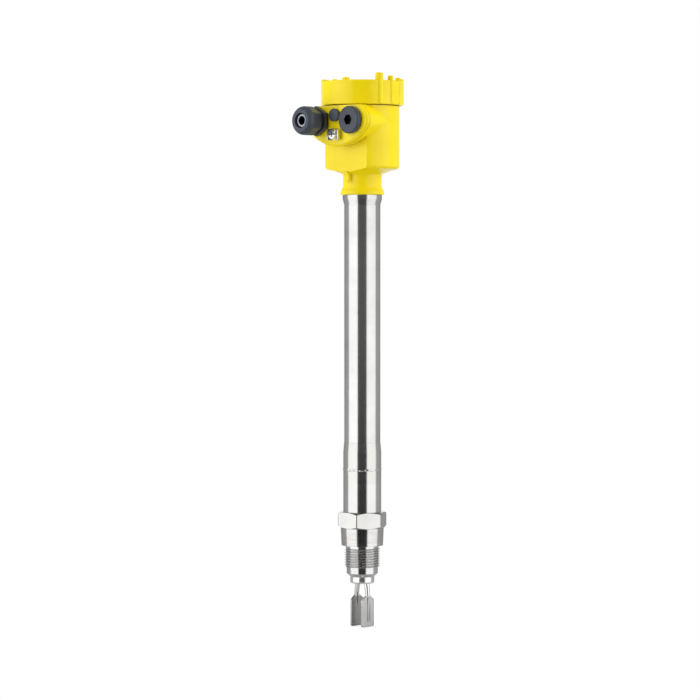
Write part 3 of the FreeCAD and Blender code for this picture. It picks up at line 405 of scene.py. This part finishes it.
def thread_root_shade(tree):
    """Painted shade in the roots of the screw thread."""
    lathe = round_the_axis(tree)
    deep = spread(tree, along(tree, lathe, 0), 1, 0, THREAD_FLOOR, THREAD_CREST)
    level = band(tree, along(tree, lathe, 1), THREAD_BOTTOM * MM, 0, MARK_BLUR / 2)
    return times(tree, deep, level)


def weld_heat(tree):
    """Length of pipe and sleeve that welding tinted faintly."""
    return band(tree, along(tree, place(tree), 2), HEAT_BOTTOM, HEAT_TOP)


def collar_streaks(tree):
    """Darker streaks on the collar above the thread."""
    vector = place(tree)
    streaks = noise(tree, stretched(tree, vector, STREAK_STRETCH), *STREAK_NOISE)
    drawn = spread(tree, streaks, STREAK_FAINTEST, 1, STREAK_START, STREAK_FULL)
    return times(tree, drawn, band(tree, along(tree, vector, 2), STREAK_BOTTOM, STREAK_TOP))


def prong_inside_shade(tree):
    """Painted shade on the faces between the prongs."""
    vector = place(tree)
    offset = size_of(tree, along(tree, vector, 0))
    middle = spread(tree, offset, 1, 0, PRONG_INSIDE, PRONG_INSIDE + MARK_BLUR)
    level = spread(tree, along(tree, vector, 2), 1, 0, PRONG_TOP, PRONG_TOP + MARK_BLUR)
    return times(tree, middle, level)


def prong_crease_shade(tree):
    """Painted shade in the creases beside the ridges of the prongs."""
    vector = place(tree)
    offset = size_of(tree, along(tree, vector, 0))
    outside = spread(tree, offset, 0, 1, PRONG_OUTSIDE, PRONG_OUTSIDE + MARK_BLUR)
    low = CREASE_MIDDLE - CREASE_HALF_WIDTH
    high = CREASE_MIDDLE + CREASE_HALF_WIDTH
    line = band(tree, size_of(tree, along(tree, vector, 1)), low, high, CREASE_HALF_WIDTH / 2)
    level = band(tree, along(tree, vector, 2), CREASE_BOTTOM, PRONG_TOP)
    return times(tree, times(tree, outside, line), level)


# Finishes
def clouded(tree, vector, clouds, shade, base, marks):
    """Colour that drifts between two tones, with marks in their own colours on it."""
    drift = spread(tree, noise(tree, vector, *clouds), 0, 1)
    colour = blend_colours(tree, drift, shade, base)
    for mark, mark_colour in marks:
        colour = blend_colours(tree, mark(tree), colour, mark_colour)
    return colour


def moulded(name, base, shade, roughness=MOULDED_ROUGHNESS, specular=0.5, marks=()):
    """Moulded plastic or rubber with a faint grain."""
    material, tree, shader = new_material(name)
    vector = place(tree)
    grain = noise(tree, vector, *MOULDED_GRAIN)
    colour = clouded(tree, vector, MOULDED_CLOUDS, shade, base, marks)
    tree.links.new(colour, shader.inputs["Base Color"])
    tree.links.new(spread(tree, grain, *roughness), shader.inputs["Roughness"])
    normal = relief(tree, grain, MOULDED_DEPTH, MOULDED_EDGE)
    tree.links.new(normal, shader.inputs["Normal"])
    shader.inputs["Specular IOR Level"].default_value = specular
    return material


def turned(name, base, shade, marks=()):
    """Turned metal with fine rings round the upright axis."""
    material, tree, shader = new_material(name)
    rings = noise(tree, round_the_axis(tree), *TURNED_RINGS)
    colour = clouded(tree, place(tree), TURNED_CLOUDS, shade, base, marks)
    tree.links.new(colour, shader.inputs["Base Color"])
    tree.links.new(spread(tree, rings, *TURNED_ROUGHNESS), shader.inputs["Roughness"])
    normal = relief(tree, rings, TURNED_DEPTH, TURNED_EDGE)
    tree.links.new(normal, shader.inputs["Normal"])
    shader.inputs["Metallic"].default_value = 1.0
    return material


def ground(name, base, shade, roughness=GROUND_ROUGHNESS, edge=GROUND_EDGE, marks=()):
    """Metal with a fine even grain, such as a polished casting or plated sheet."""
    material, tree, shader = new_material(name)
    vector = place(tree)
    grain = noise(tree, vector, *GROUND_GRAIN)
    colour = clouded(tree, vector, GROUND_CLOUDS, shade, base, marks)
    tree.links.new(colour, shader.inputs["Base Color"])
    tree.links.new(spread(tree, grain, *roughness), shader.inputs["Roughness"])
    tree.links.new(relief(tree, grain, GROUND_DEPTH, edge), shader.inputs["Normal"])
    shader.inputs["Metallic"].default_value = 1.0
    return material


def metal_finishes():
    """Finishes of the metal pieces."""
    pipe_marks = (
        (weld_heat, HEAT_COLOUR),
        (thread_root_shade, THREAD_SHADE_COLOUR),
        (collar_streaks, STREAK_COLOUR),
    )
    fork_marks = ((prong_inside_shade, PRONG_SHADE_COLOUR), (prong_crease_shade, CREASE_SHADE_COLOUR))
    return {
        "stainless_steel": turned(
            "turned_stainless", (0.74, 0.735, 0.72), (0.66, 0.655, 0.64), pipe_marks),
        "brass": turned("turned_brass", (0.78, 0.58, 0.25), (0.68, 0.48, 0.2)),
        "fork_steel": ground(
            "polished_fork", (0.95, 0.945, 0.93), (0.86, 0.855, 0.84), (0.14, 0.26),
            edge=FORK_EDGE, marks=fork_marks),
        "bright_steel": ground("plated_steel", (0.82, 0.82, 0.81), (0.7, 0.7, 0.69)),
        "screw_steel": ground(
            "plated_screw", (0.86, 0.86, 0.85), (0.74, 0.74, 0.73),
            marks=((screw_recess_shade, RECESS_SHADE_COLOUR),)),
    }


def moulded_finishes():
    """Finishes of the plastic, rubber and ceramic pieces."""
    soft = (0.5, 0.7)
    satin = (0.34, 0.5)
    return {
        "yellow_plastic": moulded(
            "yellow_moulding", (0.96, 0.765, 0.006), (0.91, 0.71, 0.005), (0.2, 0.28),
            specular=0.3, marks=((entry_seam_shade, SEAM_SHADE_COLOUR),)),
        "dark_plastic": moulded("dark_moulding", DARK, DARK_SHADE, satin),
        "plug_plastic": moulded(
            "plug_moulding", DARK, DARK_SHADE, satin, marks=((plug_socket_shade, HOLE_SHADE_COLOUR),)),
        "gland_insert": moulded(
            "ring_insert", (0.47, 0.48, 0.56), (0.36, 0.37, 0.44), (0.45, 0.6),
            marks=((gland_mouth_shade, HOLE_SHADE_COLOUR),)),
        "lid_ring": moulded("lid_ring_rubber", (0.16, 0.12, 0.02), (0.12, 0.09, 0.015), soft),
        "black_rubber": moulded(
            "seal_rubber", (0.012, 0.012, 0.014), (0.008, 0.008, 0.009), soft),
        "black_plastic": moulded("black_moulding", (0.014, 0.014, 0.016), (0.009, 0.009, 0.01)),
        "grey_plastic": moulded("grey_moulding", (0.45, 0.46, 0.47), (0.38, 0.39, 0.4)),
        "white_plastic": moulded("plain_white", (0.85, 0.85, 0.82), (0.78, 0.78, 0.75)),
        "cable_plastic": moulded(
            "wire_jacket", (0.55, 0.55, 0.52), (0.45, 0.45, 0.43), (0.4, 0.6)),
        "clear_plastic": moulded(
            "lamp_lens_green", (0.45, 0.8, 0.5), (0.35, 0.7, 0.4), (0.05, 0.12)),
        "ceramic": moulded("piezo_ceramic", (0.8, 0.78, 0.7), (0.7, 0.68, 0.6), soft),
    }


NODE_FINISH = {
    "stainless_steel": ("lower_sleeve", "extension_tube", "tube_head"),
    "fork_steel": ("tuning_fork",),
    "bright_steel": ("drive_plate", "top_plate", "spring_washer", "clamp_nut", "drive_bolt",
                     "retaining_ring", "ground_clamp", "ground_washer", "module_screws",
                     "terminal_springs"),
    "screw_steel": ("ground_screw",),
    "ceramic": ("piezo_rings",),
    "white_plastic": ("cable_guide_1", "cable_guide_2", "cable_guide_3", "feedthrough",
                      "vent_membrane", "mode_switch", "delay_switch"),
    "cable_plastic": ("sensor_cable",),
    "brass": ("ground_insert", "contact_jack"),
    "black_rubber": ("swivel_seal", "gland_gasket", "plug_gasket"),
    "lid_ring": ("lid_seal",),
    "gland_insert": ("gland_seal",),
    "yellow_plastic": ("housing", "lid"),
    "dark_plastic": ("gland_body", "gland_nut", "vent_cap"),
    "plug_plastic": ("blind_plug",),
    "black_plastic": ("gland_cage", "switch_block", "electronics_module"),
    "grey_plastic": ("terminal_block",),
    "clear_plastic": ("lamp_lens",),
}


def dress_nodes(finishes):
    """Give each carried-over node its finish."""
    for finish, nodes in NODE_FINISH.items():
        for name in nodes:
            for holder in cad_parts[name].material_slots:
                holder.material = finishes[finish]


# Pieces built from rings of points
def ring_faces(rows, columns, closed):
    """Faces between neighbouring rings, joined from last to first where closed."""
    faces = []
    for row in range(rows if closed else rows - 1):
        low = row * columns
        high = (row + 1) % rows * columns
        for column in range(columns):
            side = (column + 1) % columns
            faces.append((low + column, low + side, high + side, high + column))
    return faces


def new_piece(name, points, faces, material):
    """Smooth fixed piece of the sensor, from points in millimetres."""
    mesh = bpy.data.meshes.new(name)
    mesh.from_pydata([tuple(part * MM for part in point) for point in points], [], faces)
    mesh.polygons.foreach_set("use_smooth", [True] * len(mesh.polygons))
    mesh.materials.append(material)
    piece = bpy.data.objects.new(name, mesh)
    bpy.context.scene.collection.objects.link(piece)
    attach(piece, "sensor")
    return piece


def lathe_piece(name, rings, material):
    """Closed piece through rings round the upright axis."""
    points = []
    for ring in rings:
        for sector in range(SECTORS):
            angle = TURN * sector / SECTORS
            radius, level = ring(angle)
            points.append((radius * math.cos(angle), radius * math.sin(angle), level))
    piece = new_piece(name, points, ring_faces(len(rings), SECTORS, True), material)
    piece.data.set_sharp_from_angle(angle=SHARP_ANGLE)
    return piece


def hexagon_radius(angle):
    """Radius of the hexagon at an angle, with a corner on +X and its corners rounded."""
    sixth = TURN / 6
    plain = HEX_FLATS / 2 / math.cos(angle % sixth - sixth / 2)
    corner = HEX_FLATS / 2 / math.cos(sixth / 2) - HEX_CORNER_ROUND
    return min(plain, corner)


def thread_radius(angle, level):
    """Radius of the screw thread's rounded profile at an angle and a level."""
    phase = (level / THREAD_PITCH - angle / TURN) % 1
    slope = abs(phase - 0.5) * 2
    root = (SHARP_HEIGHT - THREAD_DEPTH) / 2 / SHARP_HEIGHT
    flank = min(max((slope - root) / (1 - 2 * root), 0), 1)
    wave = 0.5 - 0.5 * math.cos(math.pi * flank)
    return THREAD_RADIUS - THREAD_DEPTH * (STRAIGHT_SHARE * flank + (1 - STRAIGHT_SHARE) * wave)


def plain_ring(radius, level):
    """Ring of one radius at one level."""
    return lambda angle: (radius, level)


def thread_ring(level):
    """Ring through the screw thread, cut by the chamfer at its lower end."""
    limit = THREAD_RADIUS - THREAD_CHAMFER + (level - THREAD_BOTTOM)
    return lambda angle: (min(thread_radius(angle, level), limit), level)


def hex_ring(side):
    """Ring where the hexagon's flats meet the bevel at its lower or upper side."""
    def point(angle):
        radius = hexagon_radius(angle)
        start = HEX_FLATS / 2 - HEX_BEVEL_WIDTH
        fall = max(radius - start, 0) * math.tan(HEX_BEVEL_ANGLE)
        level = HEX_LEVEL + fall if side == "lower" else PIPE_LEVEL - fall
        return radius, level
    return point


def fitting_rings():
    """Rings of the process fitting, from the nose up the outside and down the bore."""
    rows = math.ceil(-THREAD_BOTTOM / THREAD_PITCH * ROWS_PER_PITCH)
    bevel_start = HEX_FLATS / 2 - HEX_BEVEL_WIDTH
    nose = [
        plain_ring(STACK_BORE, NOSE_BOTTOM),
        plain_ring(NOSE_RADIUS, NOSE_BOTTOM),
        plain_ring(ROOT_RADIUS, LEAD_BOTTOM),
        plain_ring(ROOT_RADIUS, THREAD_BOTTOM),
    ]
    thread = [thread_ring(THREAD_BOTTOM * (1 - row / rows)) for row in range(rows + 1)]
    collar = [
        plain_ring(RELIEF_RADIUS, 0),
        plain_ring(RELIEF_RADIUS, SEAL_LEVEL),
        plain_ring(COLLAR_FOOT_RADIUS - EDGE_ROUND, SEAL_LEVEL),
        plain_ring(COLLAR_FOOT_RADIUS, SEAL_LEVEL + EDGE_ROUND),
        plain_ring(COLLAR_TOP_RADIUS, HEX_LEVEL - COLLAR_EDGE),
        plain_ring(COLLAR_TOP_RADIUS, HEX_LEVEL - EDGE_ROUND),
        plain_ring(COLLAR_TOP_RADIUS - EDGE_ROUND, HEX_LEVEL),
    ]
    hexagon = [
        plain_ring(bevel_start, HEX_LEVEL),
        hex_ring("lower"),
        hex_ring("upper"),
        plain_ring(bevel_start, PIPE_LEVEL),
    ]
    pipe = [
        plain_ring(PIPE_RADIUS, PIPE_LEVEL),
        plain_ring(PIPE_RADIUS, SLEEVE_LEVEL - WELD_GROOVE),
        plain_ring(PIPE_RADIUS - WELD_GROOVE, SLEEVE_LEVEL),
        plain_ring(PIPE_BORE, SLEEVE_LEVEL),
        plain_ring(PIPE_BORE, STACK_TOP),
        plain_ring(STACK_BORE, STACK_TOP),
    ]
    return nose + thread + collar + hexagon + pipe


def make_fitting(material):
    """Process fitting with a true screw thread."""
    piece = lathe_piece("threaded_fitting", fitting_rings(), material)
    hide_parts("process_fitting")


def bead_ring(step):
    """Ring of the weld bead, which wanders and swells along its way."""
    turn = math.pi * step / BEAD_STEPS - math.pi / 2
    first, second = BEAD_WANDER_WAVES
    third, fourth = BEAD_RISE_WAVES

    def point(angle):
        wander = BEAD_WANDER * math.sin(first * angle) * math.sin(second * angle + 1)
        change = BEAD_RISE_CHANGE * math.sin(third * angle) * math.sin(fourth * angle)
        height = WELD_GROOVE + BEAD_RISE * (BEAD_RISE_MEAN + change)
        radius = PIPE_RADIUS - WELD_GROOVE + height * math.cos(turn)
        return radius, SLEEVE_LEVEL + wander + BEAD_HALF_WIDTH * math.sin(turn)
    return point


def make_weld_bead(material):
    """Fine uneven weld bead between the pipe and the sleeve."""
    rings = [bead_ring(step) for step in range(BEAD_STEPS + 1)]
    lathe_piece("weld_bead", rings, material)


def make_ridge(name, side, material):
    """Low ridge down the outer face of a prong, with tapered ends."""
    points = []
    for level, share in zip(RIDGE_LEVELS, RIDGE_SHARES):
        for sector in range(RIDGE_SECTORS):
            angle = TURN * sector / RIDGE_SECTORS
            reach = RIDGE_RADIUS * share
            x = side * (RIDGE_FACE + reach * math.cos(angle) * RIDGE_FLATNESS)
            points.append((x, reach * math.sin(angle), level))
    faces = ring_faces(len(RIDGE_LEVELS), RIDGE_SECTORS, False)
    faces.append(tuple(range(RIDGE_SECTORS)))
    faces.append(tuple(range(len(points) - RIDGE_SECTORS, len(points))))
    new_piece(name, points, faces, material)


# Studio
def make_floor():
    """Pale floor that keeps the shadow."""
    mesh = bpy.data.meshes.new("floor")
    angles = [TURN * sector / FLOOR_SECTORS for sector in range(FLOOR_SECTORS)]
    corners = [(math.cos(angle) * FLOOR_RADIUS, math.sin(angle) * FLOOR_RADIUS, FLOOR_LEVEL)
               for angle in angles]
    mesh.from_pydata(corners, [], [tuple(range(FLOOR_SECTORS))])
    floor = bpy.data.objects.new("floor", mesh)
    bpy.context.scene.collection.objects.link(floor)
    material, tree, shader = new_material("pale_floor")
    shader.inputs["Base Color"].default_value = FLOOR_COLOUR
    shader.inputs["Roughness"].default_value = 1.0
    shader.inputs["Specular IOR Level"].default_value = 0.0
    path = add(tree, "ShaderNodeLightPath")
    glow = add(tree, "ShaderNodeMath", operation="MULTIPLY")
    tree.links.new(path.outputs["Is Camera Ray"], glow.inputs[0])
    glow.inputs[1].default_value = FLOOR_GLOW
    shader.inputs["Emission Color"].default_value = (1, 1, 1, 1)
    tree.links.new(glow.outputs[0], shader.inputs["Emission Strength"])
    mesh.materials.append(material)


def toward_camera(tree, direction):
    """Cosine of the level angle between a direction and the camera's side."""
    flat = add(tree, "ShaderNodeVectorMath", operation="NORMALIZE")
    tree.links.new(stretched(tree, direction, (1, 1, 0)), flat.inputs[0])
    cosine = add(tree, "ShaderNodeVectorMath", operation="DOT_PRODUCT")
    tree.links.new(flat.outputs[0], cosine.inputs[0])
    cosine.inputs[1].default_value = (math.sin(CAMERA_AZIMUTH), -math.cos(CAMERA_AZIMUTH), 0)
    return cosine.outputs["Value"]


def metal_surround(tree, cosine, height):
    """Graded studio that polished metal reflects."""
    near = spread(tree, cosine, 0, 1, NEAR_START, NEAR_FULL)
    lift = add(tree, "ShaderNodeVectorMath", operation="ADD")
    tree.links.new(graded(tree, cosine, SURROUND), lift.inputs[0])
    tree.links.new(times(tree, graded(tree, height, HORIZON), near), lift.inputs[1])
    kept = spread(tree, size_of(tree, height), 1, STEEP_SHARE, STEEP_START, STEEP_FULL)
    return scaled(tree, lift.outputs[0], kept)


def dull_fill(tree, cosine, height):
    """Even light that dull surfaces receive."""
    kept = spread(tree, height, UNDER_SHARE, 1, UNDER_FULL, UNDER_START)
    return scaled(tree, graded(tree, cosine, FILL), kept)


def mirrored_share(tree, path):
    """One for camera, glossy and transmission rays, and nought for the rest."""
    first = add(tree, "ShaderNodeMath", operation="ADD")
    tree.links.new(path.outputs["Is Camera Ray"], first.inputs[0])
    tree.links.new(path.outputs["Is Glossy Ray"], first.inputs[1])
    second = add(tree, "ShaderNodeMath", operation="ADD", use_clamp=True)
    tree.links.new(first.outputs[0], second.inputs[0])
    tree.links.new(path.outputs["Is Transmission Ray"], second.inputs[1])
    return second.outputs[0]


def make_world():
    """White behind the object, a graded studio in its reflections, and an even fill."""
    world = bpy.data.worlds.new("studio")
    bpy.context.scene.world = world
    world.use_nodes = True
    tree = world.node_tree
    direction = add(tree, "ShaderNodeTexCoord").outputs["Generated"]
    cosine = toward_camera(tree, direction)
    height = along(tree, direction, 2)
    path = add(tree, "ShaderNodeLightPath")
    surround = metal_surround(tree, cosine, height)
    seen = blend_colours(tree, path.outputs["Is Camera Ray"], surround, (1, 1, 1))
    fill = dull_fill(tree, cosine, height)
    shown = blend_colours(tree, mirrored_share(tree, path), fill, seen)
    back = tree.nodes["Background"]
    tree.links.new(shown, back.inputs["Color"])
    back.inputs["Strength"].default_value = 1.0


def make_lamps():
    """Tall soft lamps on both sides of the camera, which face the object."""
    for name, turn, width, radiance in SOFTBOXES:
        lamp = bpy.data.lights.new(name, "AREA")
        lamp.shape = "RECTANGLE"
        lamp.size = width
        lamp.size_y = SOFTBOX_HEIGHT
        lamp.energy = radiance * math.pi * width * SOFTBOX_HEIGHT
        angle = CAMERA_AZIMUTH + math.radians(turn)
        x = math.sin(angle) * SOFTBOX_DISTANCE
        y = -math.cos(angle) * SOFTBOX_DISTANCE
        holder = bpy.data.objects.new(name, lamp)
        holder.location = (x, y, SOFTBOX_LEVEL)
        holder.rotation_euler = Vector((-x, -y, 0)).to_track_quat("-Z", "Y").to_euler()
        bpy.context.scene.collection.objects.link(holder)


def make_camera():
    """Camera at the photograph's angle."""
    data = bpy.data.cameras.new("camera")
    data.lens = CAMERA_LENS
    data.clip_start = CAMERA_CLIP
    camera = bpy.data.objects.new("camera", data)
    camera.location = (
        math.sin(CAMERA_AZIMUTH) * CAMERA_DISTANCE,
        -math.cos(CAMERA_AZIMUTH) * CAMERA_DISTANCE,
        CAMERA_HEIGHT,
    )
    camera.rotation_euler = (math.pi / 2 - CAMERA_PITCH, 0, CAMERA_YAW)
    bpy.context.scene.collection.objects.link(camera)
    bpy.context.scene.camera = camera


finishes = metal_finishes() | moulded_finishes()
dress_nodes(finishes)
make_fitting(finishes["stainless_steel"])
make_weld_bead(finishes["bright_steel"])
make_ridge("prong_ridge_1", 1, finishes["bright_steel"])
make_ridge("prong_ridge_2", -1, finishes["bright_steel"])
make_floor()
make_world()
make_lamps()
make_camera()
bpy.context.scene.view_settings.view_transform = "Standard"
